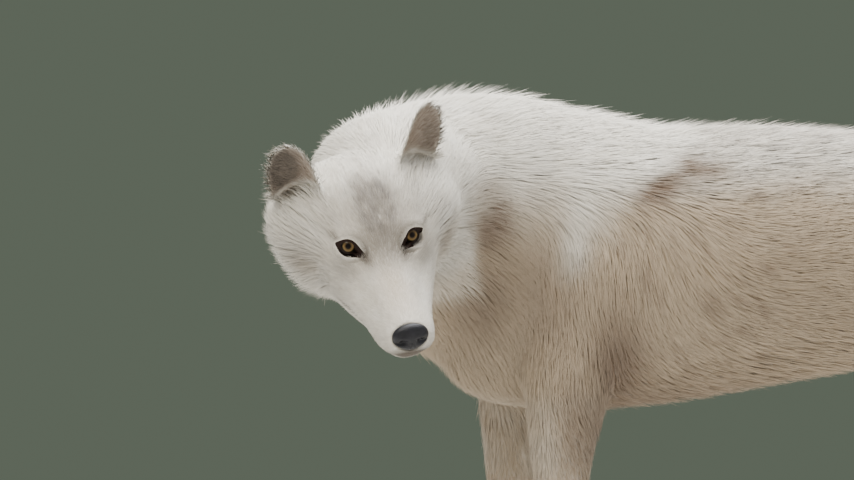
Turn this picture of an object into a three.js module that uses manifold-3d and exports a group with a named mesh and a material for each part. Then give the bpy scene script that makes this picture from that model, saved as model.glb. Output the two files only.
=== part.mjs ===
// Arctic wolf: a still, life-size model that stands in profile and turns its lowered head over its left side.
// Millimetres, +Z up. The wolf faces -X, its left side faces -Y, and its soles rest on z = 0.
// Every outline is taken to the tips of the winter coat.
import * as THREE from 'three';
import { mergeVertices } from 'three/addons/utils/BufferGeometryUtils.js';
import Module from 'manifold-3d';

const wasm = await Module();
wasm.setup();

// ---- driving sizes ----
const cutGap = 0.5;          // width of the thin cuts that part the body into nodes
const sliver = 0.4;          // faces thinner than this are merged after the cuts
const legSpread = 84;        // from the midline to the middle of each leg
const nearForeX = 5;         // left foreleg, the one that carries the elbow furthest back
const farForeX = -54;        // right foreleg, a short step ahead
const nearHindX = 668;       // left hind paw
const farHindX = 610;        // right hind paw
const headYaw = 11.5;        // degrees, muzzle swung towards +X
const headPitch = 38;        // degrees, muzzle down
const headRoll = 9.5;        // degrees, left ear side carried higher
const eyeSpacing = 80;       // between the middles of the eyes
const eyeRadius = 12.5;
const eyeMiddle = new THREE.Vector3(-225, -312, 621);

// ---- materials ----
const white = material(0xd9d5c6, 0.9);
const tan = material(0xa8977f, 0.9);
const earBrown = material(0x9a8570, 0.9);
const amber = material(0x9a7434, 0.15);
const noseBlack = material(0x26262b, 0.45);

function material(colour, roughness) {
  return new THREE.MeshStandardMaterial({ color: colour, roughness: roughness, metalness: 0 });
}

// ---- helpers ----
const rad = THREE.MathUtils.degToRad;

function vec(x, y, z) {
  return new THREE.Vector3(x, y, z);
}

function solid(geometry) {
  const plain = geometry.clone();
  plain.deleteAttribute('normal');
  plain.deleteAttribute('uv');
  const welded = mergeVertices(plain, 1e-4);
  return new wasm.Manifold(new wasm.Mesh({
    numProp: 3,
    vertProperties: new Float32Array(welded.attributes.position.array),
    triVerts: new Uint32Array(welded.index.array),
  }));
}

// A closed skin of rings. shape(t, angle) gives the point on ring t, and both end rings close to a point.
function loft(around, along, shape) {
  const geometry = new THREE.SphereGeometry(1, around, along);
  const position = geometry.attributes.position;
  for (let row = 0; row <= along; row++) {
    for (let column = 0; column <= around; column++) {
      const angle = (column % around) / around * 2 * Math.PI;
      const point = shape(row / along, angle, row === 0 || row === along ? 0 : 1);
      position.setXYZ(row * (around + 1) + column, point.x, point.y, point.z);
    }
  }
  return solid(geometry);
}

// A limb through named stations { at, wide, high, low, crest, keel }: wide is half the width across, high and low
// are the reach to either side of the path, crest and keel narrow the upper and the lower half, and lift is the
// direction that high points to.
function limb(stations, lift, around, along, power = 1) {
  const path = new THREE.CatmullRomCurve3(stations.map((s) => s.at));
  const girth = new THREE.CatmullRomCurve3(stations.map((s) => vec(s.wide, s.high, s.low ?? s.high)));
  const taper = new THREE.CatmullRomCurve3(stations.map((s, i) => vec(s.crest ?? 0, s.keel ?? 0, i)));
  return loft(around, along, (t, angle, open) => {
    const middle = path.getPoint(t);
    const size = girth.getPoint(t);
    const narrow = taper.getPoint(t);
    const forward = path.getTangent(t);
    const side = forward.clone().cross(lift).normalize();
    const up = side.clone().cross(forward).normalize();
    const rise = Math.sin(angle);
    const slim = 1 - (rise > 0 ? narrow.x : narrow.y) * rise * rise;
    const across = Math.sign(Math.cos(angle)) * Math.abs(Math.cos(angle)) ** power * slim;
    const reach = rise > 0 ? size.y : size.z;
    return middle
      .addScaledVector(side, open * size.x * across)
      .addScaledVector(up, open * reach * rise);
  });
}

function ball(at, rx, ry, rz, around = 14, along = 10) {
  const geometry = new THREE.SphereGeometry(1, around, along);
  geometry.scale(rx, ry, rz);
  geometry.translate(at.x, at.y, at.z);
  return solid(geometry);
}

// A thin upright or level board that parts whatever it crosses. Its flat face looks along normal.
function slab(at, normal, width, height = width) {
  const geometry = new THREE.BoxGeometry(width, height, cutGap);
  const look = new THREE.Matrix4().lookAt(normal, vec(0, 0, 0), Math.abs(normal.z) > 0.9 ? vec(0, 1, 0) : vec(0, 0, 1));
  geometry.applyMatrix4(look);
  geometry.translate(at.x, at.y, at.z);
  return solid(geometry);
}

function join(list) {
  return list.reduce((sum, next) => sum.add(next));
}

function placed(manifold, matrix) {
  return manifold.transform(matrix.elements);
}

// The same solid, a hair larger about its own middle: what grows out of it is trimmed by this.
function grown(manifold, factor) {
  const box = manifold.boundingBox();
  const middle = box.min.map((low, axis) => (low + box.max[axis]) / 2);
  return manifold.translate(middle.map((m) => -m)).scale(factor).translate(middle);
}

// ---- trunk: one closed barrel from the breast to the rump, deep at the chest and tucked at the loin ----
function trunkRing(x, top, bottom, half) {
  const middle = (top + bottom) / 2;
  return { at: vec(x, 0, middle), wide: half, high: (top - bottom) / 2, keel: 0.22 };
}

function buildTrunk() {
  const breastTip = trunkRing(-236, 640, 545, 40);
  const breast = trunkRing(-208, 712, 482, 92);
  const collar = trunkRing(-150, 772, 446, 124);
  const shoulder = trunkRing(-70, 800, 412, 146);
  const chest = trunkRing(20, 792, 402, 152);
  const ribs = trunkRing(120, 772, 410, 156);
  const waist = trunkRing(250, 772, 432, 150);
  const loin = trunkRing(390, 764, 456, 138);
  const hip = trunkRing(530, 758, 478, 132);
  const croup = trunkRing(645, 742, 486, 126);
  const rump = trunkRing(722, 704, 520, 98);
  const rumpTip = trunkRing(748, 660, 570, 50);
  const rings = [breastTip, breast, collar, shoulder, chest, ribs, waist, loin, hip, croup, rump, rumpTip];
  return limb(rings, vec(0, 0, 1), 24, 21, 0.9);
}

// ---- neck: from the withers forward, then round to the left and into the back of the skull ----
function buildNeck() {
  const root = { at: vec(90, 0, 620), wide: 70, high: 100 };
  const back = { at: vec(20, 0, 634), wide: 128, high: 150, low: 170 };
  const withers = { at: vec(-56, -8, 646), wide: 142, high: 163, low: 190, keel: 0.2 };
  const middle = { at: vec(-130, -42, 655), wide: 138, high: 157, low: 175, keel: 0.2 };
  const bend = { at: vec(-188, -104, 668), wide: 128, high: 137, low: 150, keel: 0.2 };
  const nape = { at: vec(-216, -176, 682), wide: 112, high: 106, low: 122, keel: 0.1 };
  const inSkull = { at: vec(-226, -240, 668), wide: 70, high: 62 };
  return limb([root, back, withers, middle, bend, nape, inSkull], vec(0, 0, 1), 24, 13, 0.92);
}

// ---- head, modelled level in its own frame: +X to the nose, +Y to its left, origin between the eyes ----
function headMatrix() {
  // level head that looks along -Y, its left towards +X
  const level = new THREE.Matrix4().makeBasis(vec(0, -1, 0), vec(1, 0, 0), vec(0, 0, 1));
  const pitch = new THREE.Matrix4().makeRotationY(rad(headPitch));
  const yaw = new THREE.Matrix4().makeRotationZ(rad(headYaw));
  const roll = new THREE.Matrix4().makeRotationY(rad(-headRoll));
  const place = new THREE.Matrix4().makeTranslation(eyeMiddle.x, eyeMiddle.y, eyeMiddle.z);
  return place.multiply(roll).multiply(yaw).multiply(level).multiply(pitch);
}

function headRing(x, top, bottom, half, middle, crest = 0, keel = 0) {
  return { at: vec(x, 0, middle), wide: half, high: top - middle, low: middle - bottom, crest: crest, keel: keel };
}

function buildSkull() {
  const backTip = headRing(-162, 34, -52, 30, -10);
  const nape = headRing(-140, 50, -84, 94, -16);
  const ruff = headRing(-102, 64, -122, 122, -14, 0, 0.2);
  const crown = headRing(-62, 68, -138, 121, -16, 0.05, 0.25);
  const brow = headRing(-26, 52, -136, 99, -22, 0.1, 0.2);
  const stop = headRing(4, 22, -124, 73, -34, 0.2, 0.15);
  const bridge = headRing(34, 3, -108, 61, -42, 0.35, 0.1);
  const muzzle = headRing(72, -9, -90, 50, -46, 0.4);
  const lips = headRing(112, -15, -84, 41, -48, 0.35);
  const noseTop = headRing(138, -20, -78, 34, -48, 0.2);
  const front = headRing(151, -28, -70, 24, -49);
  const frontTip = headRing(156, -40, -60, 8, -50);
  const rings = [backTip, nape, ruff, crown, brow, stop, bridge, muzzle, lips, noseTop, front, frontTip];
  return limb(rings, vec(0, 0, 1), 24, 23, 0.92);
}

// The bony brow over each eye, so that the eye looks out from under it.
function buildBrow(side) {
  const inner = { at: vec(-16, side * 16, 16), wide: 12, high: 12 };
  const middle = { at: vec(-14, side * 37, 16), wide: 18, high: 14 };
  const outer = { at: vec(-30, side * 60, 8), wide: 18, high: 15 };
  return limb([inner, middle, outer], vec(0, 0, 1), 9, 5);
}

// An ear is a leaf, hollow on the side it listens with: its back is one arc, its inside a shallower one.
const ear = { length: 100, half: 36, cup: 24, thick: 9, root: 14 };

function buildEar(base, axis, facing) {
  const up = axis.clone().normalize();
  const across = facing.clone().cross(up).normalize();
  const front = up.clone().cross(across).normalize();
  return loft(14, 10, (t, angle, open) => {
    const rise = ear.length * t;
    const round = Math.sqrt(Math.max(0, 1 - t ** 2.3));
    const half = open * ear.half * (0.84 + 0.34 * t) * round + 0.2 * open;
    const u = Math.cos(angle);
    const bow = ear.cup * (1 - 0.55 * t) * (half / ear.half) * (1 - u * u);
    const skin = ear.thick * (1 - 0.45 * t) * Math.sqrt(Math.max(0, 1 - u * u)) * (open ? 1 : 0);
    const depth = Math.sin(angle) > 0 ? -bow - skin / 2 : -bow + skin / 2;
    return base.clone()
      .addScaledVector(up, rise - ear.root)
      .addScaledVector(across, half * u)
      .addScaledVector(front, depth * open + 8 * Math.sin(Math.PI * t));
  });
}

function buildNose() {
  const pad = ball(vec(148, 0, -37), 12, 23, 18, 12, 8);
  const nostrils = [-1, 1].map((side) => ball(vec(160, side * 11, -39), 5, 4.2, 4.4, 7, 5));
  return pad.subtract(join(nostrils));
}

// ---- legs ----
function buildForeleg(x, side) {
  const y = side * legSpread;
  const blade = { at: vec(x + 30, side * 56, 640), wide: 60, high: 90 };
  const upper = { at: vec(x + 26, side * 78, 560), wide: 62, high: 92 };
  const arm = { at: vec(x + 14, side * 82, 480), wide: 56, high: 74 };
  const elbow = { at: vec(x + 4, y, 405), wide: 44, high: 50 };
  const forearm = { at: vec(x, y, 325), wide: 35, high: 37 };
  const shin = { at: vec(x - 2, y, 230), wide: 28, high: 29 };
  const wrist = { at: vec(x - 4, y, 140), wide: 29, high: 28 };
  const pastern = { at: vec(x - 8, y, 84), wide: 27, high: 25 };
  const heel = { at: vec(x - 20, y, 42), wide: 34, high: 34 };
  const sole = { at: vec(x - 26, y, 8), wide: 26, high: 26 };
  const rings = [blade, upper, arm, elbow, forearm, shin, wrist, pastern, heel, sole];
  return limb(rings, vec(-1, 0, 0), 12, 17);
}

function buildHindLeg(x, side) {
  const y = side * legSpread;
  const pelvis = { at: vec(612, side * 50, 668), wide: 52, high: 70 };
  const hip = { at: vec(612, side * 72, 604), wide: 60, high: 98 };
  const thigh = { at: vec(x - 66, side * 80, 515), wide: 58, high: 106 };
  const knee = { at: vec(x - 84, y, 420), wide: 50, high: 78 };
  const shank = { at: vec(x - 42, y, 320), wide: 38, high: 50 };
  const string = { at: vec(x + 12, y, 240), wide: 29, high: 35 };
  const hock = { at: vec(x + 38, y, 188), wide: 27, high: 33 };
  const cannon = { at: vec(x + 34, y, 120), wide: 25, high: 25 };
  const pastern = { at: vec(x + 22, y, 72), wide: 27, high: 25 };
  const heel = { at: vec(x + 8, y, 40), wide: 32, high: 32 };
  const sole = { at: vec(x, y, 8), wide: 24, high: 24 };
  const rings = [pelvis, hip, thigh, knee, shank, string, hock, cannon, pastern, heel, sole];
  return limb(rings, vec(-1, 0, 0), 12, 19);
}

// Four toes in a fan; the two middle ones reach furthest. Each carries one blunt claw.
const toes = [
  { out: -27, reach: 24, turn: -12 },
  { out: -10, reach: 41, turn: -4 },
  { out: 10, reach: 41, turn: 4 },
  { out: 27, reach: 24, turn: 12 },
];

function toePlace(toe, pawX, pawY) {
  const turn = rad(180 - toe.turn);
  return new THREE.Matrix4().makeTranslation(pawX - toe.reach, pawY + toe.out, 0)
    .multiply(new THREE.Matrix4().makeRotationZ(turn));
}

function buildToe(place) {
  return placed(ball(vec(-6, 0, 18), 27, 14, 23, 7, 5), place);
}

// One blunt, worn claw. It grows out of its toe, so the two are one solid.
function buildClaw(place) {
  const root = { at: vec(10, 0, 17), wide: 3.2, high: 3.6 };
  const middle = { at: vec(21, 0, 16), wide: 3, high: 3.6 };
  const bend = { at: vec(28, 0, 12), wide: 2.2, high: 2.8 };
  const tip = { at: vec(32, 0, 6), wide: 0.7, high: 0.8 };
  return placed(limb([root, middle, bend, tip], vec(0, 0, 1), 4, 4), place);
}

function buildPaw(pawX, pawY) {
  const pad = ball(vec(pawX + 6, pawY, 12), 44, 36, 28, 10, 6);
  const places = toes.map((toe) => toePlace(toe, pawX, pawY));
  return join([pad, ...places.map(buildToe), ...places.map(buildClaw)]);
}

// ---- tail: hangs behind the hind legs, fullest in its lower half ----
function buildTail() {
  const root = { at: vec(690, 0, 672), wide: 40, high: 40 };
  const dock = { at: vec(750, -4, 646), wide: 44, high: 42 };
  const upper = { at: vec(792, -10, 580), wide: 46, high: 42 };
  const brush = { at: vec(810, -16, 470), wide: 52, high: 50 };
  const lower = { at: vec(808, -20, 365), wide: 42, high: 40 };
  const tip = { at: vec(798, -22, 290), wide: 6, high: 6 };
  return limb([root, dock, upper, brush, lower, tip], vec(1, 0, 0.3), 14, 13);
}

// ---- assembly ----
const headPlace = headMatrix();

function inHead(x, y, z) {
  return vec(x, y, z).applyMatrix4(headPlace);
}

const legs = [
  { name: 'foreleg_left', side: -1, x: nearForeX, pawX: nearForeX - 30, build: buildForeleg },
  { name: 'foreleg_right', side: 1, x: farForeX, pawX: farForeX - 30, build: buildForeleg },
  { name: 'hindleg_left', side: -1, x: nearHindX, pawX: nearHindX - 4, build: buildHindLeg },
  { name: 'hindleg_right', side: 1, x: farHindX, pawX: farHindX - 4, build: buildHindLeg },
];

// Each eyeball looks out through an almond opening whose inner corner lies lower than its outer one.
const eyes = [-1, 1].map((side) => {
  const seat = vec(5, side * eyeSpacing / 2, 4);
  const gaze = new THREE.Matrix4().makeTranslation(seat.x, seat.y, seat.z)
    .multiply(new THREE.Matrix4().makeRotationZ(rad(side * 20)))
    .multiply(new THREE.Matrix4().makeRotationY(rad(-26)))
    .multiply(new THREE.Matrix4().makeRotationX(rad(side * 12)));
  return {
    name: side > 0 ? 'eye_left' : 'eye_right',
    ball: placed(ball(seat, eyeRadius, eyeRadius, eyeRadius, 12, 9), headPlace),
    socket: placed(ball(seat, eyeRadius + 1, eyeRadius + 1, eyeRadius + 1, 12, 9), headPlace),
    opening: placed(placed(ball(vec(16, 0, 0), 15, 14, 9, 10, 7), gaze), headPlace),
  };
});

const nose = placed(buildNose(), headPlace);
const noseSeat = placed(ball(vec(148, 0, -37), 12.9, 23.9, 18.9, 12, 8), headPlace);
const skull = placed(join([buildSkull(), buildBrow(1), buildBrow(-1)]), headPlace);
const skullCut = grown(skull, 1.006);
const earLeft = placed(buildEar(vec(-86, 68, 48), vec(-0.2, 0.3, 0.93), vec(0.88, 0.42, 0)), headPlace).subtract(skullCut);
const earRight = placed(buildEar(vec(-74, -88, 34), vec(0.02, -0.12, 0.98), vec(0.93, -0.36, 0.1)), headPlace).subtract(skullCut);

const trunk = buildTrunk();
const tail = buildTail().subtract(grown(trunk, 1.0016));
const pawFlesh = legs.map((leg) => buildPaw(leg.pawX, leg.side * legSpread));
const legFlesh = legs.map((leg) => leg.build(leg.x, leg.side));
const belowFloor = solid(new THREE.BoxGeometry(3000, 3000, 200).translate(0, 0, -100));

const flesh = join([trunk, buildNeck(), skull, ...legFlesh, ...pawFlesh])
  .subtract(belowFloor)
  .subtract(join(eyes.map((eye) => eye.socket.add(eye.opening))))
  .subtract(noseSeat);

// Thin cuts. Each is a board that crosses one limb and touches nothing else.
const cuts = [
  slab(vec(-128, -66, 640), vec(-0.72, -0.69, 0), 480, 560),
  slab(vec(-205, -143, 660), vec(-0.35, -0.93, 0), 350, 440),
];
legs.forEach((leg) => {
  const y = leg.side * legSpread;
  const fore = leg.name.startsWith('fore');
  const top = fore ? 392 : 466;
  const joint = fore ? vec(leg.x - 4, y, 140) : vec(leg.x + 38, y, 196);
  const ankle = fore ? vec(leg.x - 10, y, 74) : vec(leg.x + 20, y, 72);
  cuts.push(slab(vec(fore ? leg.x + 2 : leg.x - 80, y, top), vec(0, 0, 1), fore ? 130 : 236, 130));
  cuts.push(slab(joint, vec(0, 0, 1), 110));
  cuts.push(slab(ankle, vec(0, 0, 1), 120));
});

const landmarks = [
  { name: 'trunk', at: vec(280, 0, 600) },
  { name: 'neck', at: vec(-180, -60, 640) },
  { name: 'head', at: vec(-220, -290, 620) },
];
legs.forEach((leg) => {
  const y = leg.side * legSpread;
  const fore = leg.name.startsWith('fore');
  landmarks.push({ name: `${leg.name}_upper`, at: vec(fore ? leg.x : leg.x - 50, y, fore ? 266 : 330) });
  landmarks.push({ name: `${leg.name}_lower`, at: vec(fore ? leg.x - 4 : leg.x + 34, y, fore ? 107 : 134) });
  landmarks.push({ name: `${leg.name}_paw`, at: vec(leg.pawX - 4, y, 36) });
});

const nodes = [];
flesh.subtract(join(cuts)).decompose().forEach((piece) => {
  const box = piece.boundingBox();
  const middle = vec(box.min[0] + box.max[0], box.min[1] + box.max[1], box.min[2] + box.max[2]).multiplyScalar(0.5);
  const nearest = landmarks.reduce((a, b) => (a.at.distanceTo(middle) < b.at.distanceTo(middle) ? a : b));
  nodes.push({ name: nearest.name, shape: piece, look: nearest.name.includes('leg') ? tan : white });
});
nodes.push({ name: 'ear_left', shape: earLeft, look: earBrown });
nodes.push({ name: 'ear_right', shape: earRight, look: earBrown });
nodes.push({ name: 'tail', shape: tail, look: white });
eyes.forEach((eye) => nodes.push({ name: eye.name, shape: eye.ball, look: amber }));
nodes.push({ name: 'nose', shape: nose, look: noseBlack });

const wolf = new THREE.Group();
wolf.name = 'arctic_wolf';
nodes.forEach((node) => {
  const mesh = node.shape.simplify(sliver).getMesh();
  const geometry = new THREE.BufferGeometry();
  geometry.setAttribute('position', new THREE.BufferAttribute(mesh.vertProperties, 3));
  geometry.setIndex(new THREE.BufferAttribute(mesh.triVerts, 1));
  const part = new THREE.Mesh(geometry, node.look);
  part.name = node.name;
  wolf.add(part);
});

// The finished model stands centred over the origin.
const bounds = new THREE.Box3().setFromObject(wolf);
const centre = bounds.getCenter(new THREE.Vector3());
wolf.children.forEach((part) => part.geometry.translate(-centre.x, -centre.y, -bounds.min.z));

export default wolf;
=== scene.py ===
import bpy
import bmesh
import heapq
import math
import numpy as np
from mathutils import Matrix, Vector
from mathutils.bvhtree import BVHTree
from mathutils.kdtree import KDTree


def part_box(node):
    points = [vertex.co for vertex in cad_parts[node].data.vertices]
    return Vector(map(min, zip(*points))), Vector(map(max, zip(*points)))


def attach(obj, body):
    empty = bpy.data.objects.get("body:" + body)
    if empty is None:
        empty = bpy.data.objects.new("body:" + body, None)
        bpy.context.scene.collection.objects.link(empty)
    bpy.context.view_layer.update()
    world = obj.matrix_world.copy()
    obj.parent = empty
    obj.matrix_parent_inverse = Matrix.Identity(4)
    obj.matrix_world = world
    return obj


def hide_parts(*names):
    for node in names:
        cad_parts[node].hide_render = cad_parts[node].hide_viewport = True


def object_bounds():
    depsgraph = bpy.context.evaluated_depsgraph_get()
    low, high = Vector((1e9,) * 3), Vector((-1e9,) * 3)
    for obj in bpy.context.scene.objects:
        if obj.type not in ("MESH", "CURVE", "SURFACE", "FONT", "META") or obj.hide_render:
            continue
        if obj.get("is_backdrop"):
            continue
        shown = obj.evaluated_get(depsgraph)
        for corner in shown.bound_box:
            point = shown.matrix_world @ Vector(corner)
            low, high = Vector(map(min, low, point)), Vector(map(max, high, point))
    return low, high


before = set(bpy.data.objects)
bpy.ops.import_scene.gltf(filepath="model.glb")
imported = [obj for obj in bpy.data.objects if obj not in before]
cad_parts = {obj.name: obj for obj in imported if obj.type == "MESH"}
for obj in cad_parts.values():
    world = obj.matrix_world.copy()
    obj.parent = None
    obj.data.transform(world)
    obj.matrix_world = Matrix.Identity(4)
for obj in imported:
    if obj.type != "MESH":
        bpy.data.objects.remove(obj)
cadLow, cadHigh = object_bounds()
bpy.ops.object.select_all(action="DESELECT")
chance = np.random.default_rng(11)
mm = 0.001


def colour(hexCode):
    parts = [int(hexCode[i:i + 2], 16) / 255 for i in (1, 3, 5)]
    return [c / 12.92 if c <= 0.04045 else ((c + 0.055) / 1.055) ** 2.4 for c in parts] + [1.0]


# a node of a material or a world; an entry of sockets is another node's output, a hex colour or a value
def addNode(owner, kind, settings=None, sockets=None, stops=(), **inputs):
    node = owner.node_tree.nodes.new(kind)
    for key, value in (settings or {}).items():
        setattr(node, key, value)
    named = {key.replace("_", " "): value for key, value in inputs.items()}
    for key, value in {**(sockets or {}), **named}.items():
        if isinstance(value, bpy.types.NodeSocket):
            owner.node_tree.links.new(value, node.inputs[key])
        else:
            node.inputs[key].default_value = colour(value) if isinstance(value, str) else value
    for k, (at, tone) in enumerate(stops):
        stop = node.color_ramp.elements[k] if k < 2 else node.color_ramp.elements.new(at)
        stop.position, stop.color = at, colour(tone)
    return node


def newMaterial(name):
    material = bpy.data.materials.new(name)
    material.use_nodes = True
    material.node_tree.nodes.clear()
    return material


def onlySelect(*things):
    bpy.ops.object.select_all(action="DESELECT")
    for thing in things:
        thing.select_set(True)
    bpy.context.view_layer.objects.active = things[0]


def joinAll(things, name):
    onlySelect(*things)
    bpy.ops.object.join()
    things[0].name = name
    return things[0]


def newObject(name, mesh):
    thing = bpy.data.objects.new(name, mesh)
    bpy.context.scene.collection.objects.link(thing)
    return thing


def editAll(thing, operator, **settings):
    onlySelect(thing)
    bpy.ops.object.mode_set(mode="EDIT")
    bpy.ops.mesh.select_all(action="SELECT")
    operator(**settings)
    bpy.ops.object.mode_set(mode="OBJECT")


def shadeSmooth(mesh):
    mesh.polygons.foreach_set("use_smooth", [True] * len(mesh.polygons))


def dropMaps(mesh):
    while mesh.uv_layers:
        mesh.uv_layers.remove(mesh.uv_layers[0])


# one field of a mesh's points, edges, loops or faces, as an array with so many values to a row
def rows(source, field, width, kind=np.int32):
    flat = np.empty(len(source) * width, kind)
    source.foreach_get(field, flat)
    return flat.reshape(-1, width)


def points(mesh):
    return rows(mesh.vertices, "co", 3, np.float32).astype(float)


def pointNormals(mesh):
    return rows(mesh.vertex_normals, "vector", 3, np.float32).astype(float)


def edgePairs(mesh):
    return rows(mesh.edges, "vertices", 2)


def triangles(mesh):
    return rows(mesh.polygons, "vertices", 3)


def setPoints(mesh, place):
    mesh.vertices.foreach_set("co", place.astype(np.float32).ravel())
    mesh.update()


# neighbours in every ring but the last, for the faces that join each ring to the next
def ringSides(rings, around, offset=0):
    return [(offset + r * around + k, offset + r * around + (k + 1) % around)
            for r in range(rings - 1) for k in range(around)]


def treeOver(place, mesh):
    return BVHTree.FromPolygons(place.tolist(), [list(p.vertices) for p in mesh.polygons])


def treeOf(places):
    tree = KDTree(len(places))
    for k, p in places:
        tree.insert(p, k)
    tree.balance()
    return tree


def unit(v):
    return v / np.maximum(np.linalg.norm(v, axis=-1, keepdims=True), 1e-12)


def ease(low, high, x):
    t = np.clip((x - low) / (high - low), 0, 1)
    return t * t * (3 - 2 * t)


# a soft spot: 1 in its middle, and about a third at its reach
def spotAt(p, middle, reach):
    return np.exp(-(((p - np.array(middle)) / np.array(reach)) ** 2).sum(1))


# what lies on the edges, summed at each point
def sumAtPoints(pairs, atFirst, atSecond, count):
    a, b = pairs.T
    return np.stack([np.bincount(a, atFirst[:, k], count) + np.bincount(b, atSecond[:, k], count)
                     for k in range(atFirst.shape[1])], 1)


# evens values out over a mesh, each point towards the mean of its neighbours
def spread(values, pairs, rounds, pull=0.5):
    flat = values.reshape(len(values), -1).astype(float)
    a, b = pairs.T
    ones = np.ones((len(pairs), 1))
    count = np.maximum(sumAtPoints(pairs, ones, ones, len(flat)), 1)
    for _ in range(rounds):
        total = sumAtPoints(pairs, flat[b], flat[a], len(flat))
        flat = flat + (total / count - flat) * pull
    return flat.reshape(values.shape)


def middleOf(node):
    low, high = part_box(node)
    return (low + high) / 2


# the head's own frame: x to the nose, y to its left, z up, in metres
noseDrop = math.radians(16)
leftward = (middleOf("eye_left") - middleOf("eye_right")).normalized()
betweenEyes = (middleOf("eye_left") + middleOf("eye_right")) / 2
toNose = middleOf("nose") - betweenEyes
toNose = (toNose - leftward * toNose.dot(leftward)).normalized()
overNose = toNose.cross(leftward)
forward = toNose * math.cos(noseDrop) + overNose * math.sin(noseDrop)
upward = overNose * math.cos(noseDrop) - toNose * math.sin(noseDrop)
headTurn = np.array([forward, leftward, upward])
headOrigin = np.array(betweenEyes - forward * 5 * mm - upward * 4 * mm)


def toHead(place):
    return (place - headOrigin) @ headTurn.T


def fromHead(place):
    return np.asarray(place) @ headTurn + headOrigin


# the middle of each ear's hollow and the way it faces, in the head's frame
earHollows = {"ear_left": ((-92, 76, 88), (0.88, 0.42, 0)), "ear_right": ((-73, -93, 76), (0.93, -0.36, 0.1))}

# camera: a long lens, level with the shoulders
camera = {"lens": 300, "sensor": 36, "tilt": 0.4, "aim": Vector((-0.4115, -0.13, 0.6235)), "wide": 1.0675}
distance = camera["wide"] / camera["sensor"] * camera["lens"]
tilt = math.radians(camera["tilt"])
cameraPlace = camera["aim"] + Vector((0, -math.cos(tilt), math.sin(tilt))) * distance
bpy.ops.object.camera_add(location=cameraPlace, rotation=(math.pi / 2 - tilt, 0, 0))
lens = bpy.context.object
lens.name = "camera"
lens.data.lens = camera["lens"]
lens.data.sensor_width = camera["sensor"]
lens.data.clip_end = 200
bpy.context.scene.camera = lens

# floor, backdrop and lights
bpy.ops.mesh.primitive_plane_add(size=5, location=(0, 0, 0))
floor = bpy.context.object
floor.name = "floor"
paint = newMaterial("painted studio floor")  # flat emulsion, pale and without shine
shader = addNode(paint, "ShaderNodeBsdfPrincipled", Base_Color="#cfcdc8", Roughness=0.85)
addNode(paint, "ShaderNodeOutputMaterial", Surface=shader.outputs[0])
floor.data.materials.append(paint)
floor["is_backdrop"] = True

world = bpy.data.worlds.new("studio")
bpy.context.scene.world = world
world.use_nodes = True
world.node_tree.nodes.clear()
seen = addNode(world, "ShaderNodeLightPath")
wall = addNode(world, "ShaderNodeBackground", Color="#5f685b", Strength=1.0)
glow = addNode(world, "ShaderNodeBackground", Color="#f3f5f8", Strength=0.62)
both = addNode(world, "ShaderNodeMixShader",
               sockets={0: seen.outputs["Is Camera Ray"], 1: glow.outputs[0], 2: wall.outputs[0]})
addNode(world, "ShaderNodeOutputWorld", Surface=both.outputs[0])

lights = {   # place, size in metres, watts and tint
    "key": ((-2.2, -2.8, 4.2), 2.6, 215, "#fffaf2"),
    "top": ((0.2, 0.2, 4.2), 3.4, 370, "#f8faff"),
    "fill": ((2.8, -3.0, 1.8), 2.6, 22, "#ffffff"),
    "rear": ((0.8, 3.6, 2.4), 2.6, 60, "#ffffff"),
}
litMiddle = Vector((-0.2, 0, 0.5))
for name, (spot, size, watts, tint) in lights.items():
    bpy.ops.object.light_add(type="AREA", location=spot)
    light = bpy.context.object
    light.name = name
    light.data.shape = "DISK"
    light.data.size = size
    light.data.energy = watts
    light.data.color = colour(tint)[:3]
    light.rotation_euler = (litMiddle - Vector(spot)).to_track_quat("-Z", "Y").to_euler()
print("stage, camera and lights are set")

# skin: the flesh nodes made one, smoothed, and drawn in by the depth of the coat
skinSizes = {
    "voxel": 3 * mm,      # fine enough for the ears' rims
    "overlap": 0.7 * mm,  # bridges the thin cuts between the nodes
    "evening": 14,        # rounds of smoothing that take the facets out
    "kept": 72000,        # points left after thinning
    "unthinned": 0.97,    # how far the head and ears are spared by it
}
fleshNodes = [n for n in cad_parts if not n.startswith("eye") and n != "nose"]
pawNodes = [n for n in fleshNodes if n.endswith("_paw")]
pawBack = 77.8   # from the front of a paw's box to its middle, in millimetres
joined = bmesh.new()
for name in fleshNodes:
    part = bmesh.new()
    part.from_mesh(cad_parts[name].data)
    bmesh.ops.remove_doubles(part, verts=part.verts, dist=0.01 * mm)
    part.normal_update()
    for vertex in part.verts:
        vertex.co += vertex.normal * skinSizes["overlap"]
    plain = bpy.data.meshes.new("part")
    part.to_mesh(plain)
    joined.from_mesh(plain)
    part.free()
skinMesh = bpy.data.meshes.new("skin")
joined.to_mesh(skinMesh)
joined.free()
skin = newObject("skin", skinMesh)
onlySelect(skin)
skinMesh.remesh_voxel_size = skinSizes["voxel"]
skinMesh.remesh_voxel_adaptivity = 0
bpy.ops.object.voxel_remesh()
print("skin remeshed:", len(skin.data.vertices))


# only the outer shell is kept
def keepLargest(thing):
    shape = bmesh.new()
    shape.from_mesh(thing.data)
    shape.verts.ensure_lookup_table()
    island = np.full(len(shape.verts), -1)
    count = 0
    for first in shape.verts:
        if island[first.index] >= 0:
            continue
        island[first.index] = count
        waiting = [first]
        while waiting:
            here = waiting.pop()
            for edge in here.link_edges:
                there = edge.other_vert(here)
                if island[there.index] < 0:
                    island[there.index] = count
                    waiting.append(there)
        count += 1
    largest = np.bincount(island).argmax()
    bmesh.ops.delete(shape, geom=[v for v in shape.verts if island[v.index] != largest], context="VERTS")
    shape.to_mesh(thing.data)
    shape.free()
    return count


print("islands:", keepLargest(skin), "points:", len(skin.data.vertices))
skinPairs = edgePairs(skin.data)
setPoints(skin.data, spread(points(skin.data), skinPairs, skinSizes["evening"], 0.6))
shadeSmooth(skin.data)
print("skin smoothed")

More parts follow.
